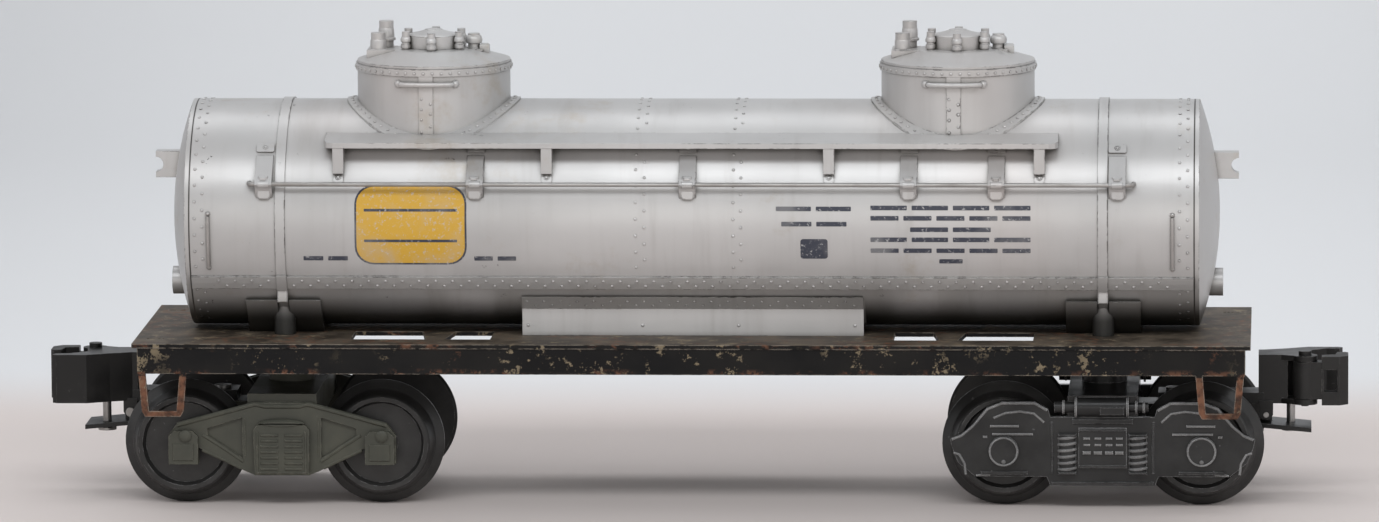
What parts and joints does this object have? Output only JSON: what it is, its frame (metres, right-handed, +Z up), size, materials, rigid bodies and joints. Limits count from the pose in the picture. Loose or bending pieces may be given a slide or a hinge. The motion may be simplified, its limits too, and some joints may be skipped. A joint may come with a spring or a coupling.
{
  "type": "model tank wagon",
  "caption": "Two-dome model railway tank wagon: hollow tank on a pressed steel frame, carried by two swivelling trucks with free-turning wheels and knuckle couplers.",
  "frame": {"origin": "midway between the ends and the sides, at the lowest points of the wheel flanges, where the wagon stands", "axes": "+X along the wagon, towards the end with the roller-bearing truck; +Z up"},
  "size_m": [0.242, 0.052, 0.0879],
  "materials": {
    "tank_paint": "aluminium-silver paint on moulded plastic, grimy and chipped",
    "frame_paint": "black paint on pressed steel, rusty at the edges",
    "truck_grey": "dull grey-brown moulding",
    "truck_black": "semi-gloss black casting, bright at the worn edges",
    "wheel_iron": "dark blackened iron, polished on the tread",
    "bright_steel": "plain turned steel",
    "wire_steel": "drawn steel wire, dulled",
    "coupler_black": "satin black casting",
    "washer_fibre": "hard fibre"
  },
  "bodies": {
    "wagon": {"frame": "frame_paint", "tank_shell": "tank_paint", "tank_head_left": "tank_paint", "tank_head_right": "tank_paint", "dome_cap_left": "tank_paint", "dome_cap_right": "tank_paint", "handrail_front": "wire_steel", "handrail_rear": "wire_steel", "tank_screws": "bright_steel", "pivot_stud_left": "bright_steel", "pivot_clip_left": "bright_steel", "pivot_stud_right": "bright_steel", "pivot_clip_right": "bright_steel"},
    "left_truck": {"truck_frame_left": "truck_grey", "axle_left_outer": "bright_steel", "axle_left_inner": "bright_steel", "pivot_washer_left": "washer_fibre", "coupler_head_left": "coupler_black", "coupler_rivets_left": "bright_steel", "knuckle_pin_left": "coupler_black", "flap_pin_left": "bright_steel", "flap_spring_left": "bright_steel"},
    "left_outer_front_wheel": {"wheel_left_outer_front": "wheel_iron"},
    "left_outer_rear_wheel": {"wheel_left_outer_rear": "wheel_iron"},
    "left_inner_front_wheel": {"wheel_left_inner_front": "wheel_iron"},
    "left_inner_rear_wheel": {"wheel_left_inner_rear": "wheel_iron"},
    "left_knuckle": {"knuckle_left": "coupler_black"},
    "left_flap": {"uncoupling_flap_left": "coupler_black", "lock_plunger_left": "bright_steel"},
    "right_truck": {"truck_frame_right": "truck_black", "axle_right_outer": "bright_steel", "axle_right_inner": "bright_steel", "pivot_washer_right": "washer_fibre", "coupler_head_right": "coupler_black", "coupler_rivets_right": "bright_steel", "knuckle_pin_right": "coupler_black", "flap_pin_right": "bright_steel", "flap_spring_right": "bright_steel"},
    "right_outer_front_wheel": {"wheel_right_outer_front": "wheel_iron"},
    "right_outer_rear_wheel": {"wheel_right_outer_rear": "wheel_iron"},
    "right_inner_front_wheel": {"wheel_right_inner_front": "wheel_iron"},
    "right_inner_rear_wheel": {"wheel_right_inner_rear": "wheel_iron"},
    "right_knuckle": {"knuckle_right": "coupler_black"},
    "right_flap": {"uncoupling_flap_right": "coupler_black", "lock_plunger_right": "bright_steel"}
  },
  "joints": [
    {"name": "left_truck_swivel", "type": "hinge", "parent": "wagon", "child": "left_truck", "pos_m": [-0.0758, 0, 0.0205], "axis": [0, 0, 1], "range_deg": [-9.5, 9.5]},
    {"name": "left_outer_front_wheel_spin", "type": "hinge", "parent": "left_truck", "child": "left_outer_front_wheel", "pos_m": [-0.094, -0.0165, 0.0115], "axis": [0, 1, 0], "continuous": true},
    {"name": "left_outer_rear_wheel_spin", "type": "hinge", "parent": "left_truck", "child": "left_outer_rear_wheel", "pos_m": [-0.094, 0.0165, 0.0115], "axis": [0, 1, 0], "continuous": true},
    {"name": "left_inner_front_wheel_spin", "type": "hinge", "parent": "left_truck", "child": "left_inner_front_wheel", "pos_m": [-0.0576, -0.0165, 0.0115], "axis": [0, 1, 0], "continuous": true},
    {"name": "left_inner_rear_wheel_spin", "type": "hinge", "parent": "left_truck", "child": "left_inner_rear_wheel", "pos_m": [-0.0576, 0.0165, 0.0115], "axis": [0, 1, 0], "continuous": true},
    {"name": "left_knuckle_open", "type": "hinge", "parent": "left_truck", "child": "left_knuckle", "pos_m": [-0.113, 0.0036, 0.0217], "axis": [0, 0, -1], "range_deg": [0, 38]},
    {"name": "left_flap_pull", "type": "hinge", "parent": "left_truck", "child": "left_flap", "pos_m": [-0.1058, 0, 0.0151], "axis": [0, -1, 0], "range_deg": [0, 8], "stiffness_Nm_per_rad": 0.0005, "springref_deg": -5.73},
    {"name": "right_truck_swivel", "type": "hinge", "parent": "wagon", "child": "right_truck", "pos_m": [0.0758, 0, 0.0205], "axis": [0, 0, 1], "range_deg": [-9.5, 9.5]},
    {"name": "right_outer_front_wheel_spin", "type": "hinge", "parent": "right_truck", "child": "right_outer_front_wheel", "pos_m": [0.094, -0.0165, 0.0115], "axis": [0, 1, 0], "continuous": true},
    {"name": "right_outer_rear_wheel_spin", "type": "hinge", "parent": "right_truck", "child": "right_outer_rear_wheel", "pos_m": [0.094, 0.0165, 0.0115], "axis": [0, 1, 0], "continuous": true},
    {"name": "right_inner_front_wheel_spin", "type": "hinge", "parent": "right_truck", "child": "right_inner_front_wheel", "pos_m": [0.0576, -0.0165, 0.0115], "axis": [0, 1, 0], "continuous": true},
    {"name": "right_inner_rear_wheel_spin", "type": "hinge", "parent": "right_truck", "child": "right_inner_rear_wheel", "pos_m": [0.0576, 0.0165, 0.0115], "axis": [0, 1, 0], "continuous": true},
    {"name": "right_knuckle_open", "type": "hinge", "parent": "right_truck", "child": "right_knuckle", "pos_m": [0.113, -0.0036, 0.0217], "axis": [0, 0, -1], "range_deg": [0, 38]},
    {"name": "right_flap_pull", "type": "hinge", "parent": "right_truck", "child": "right_flap", "pos_m": [0.1058, 0, 0.0151], "axis": [0, 1, 0], "range_deg": [0, 8], "stiffness_Nm_per_rad": 0.0005, "springref_deg": -5.73}
  ]
}
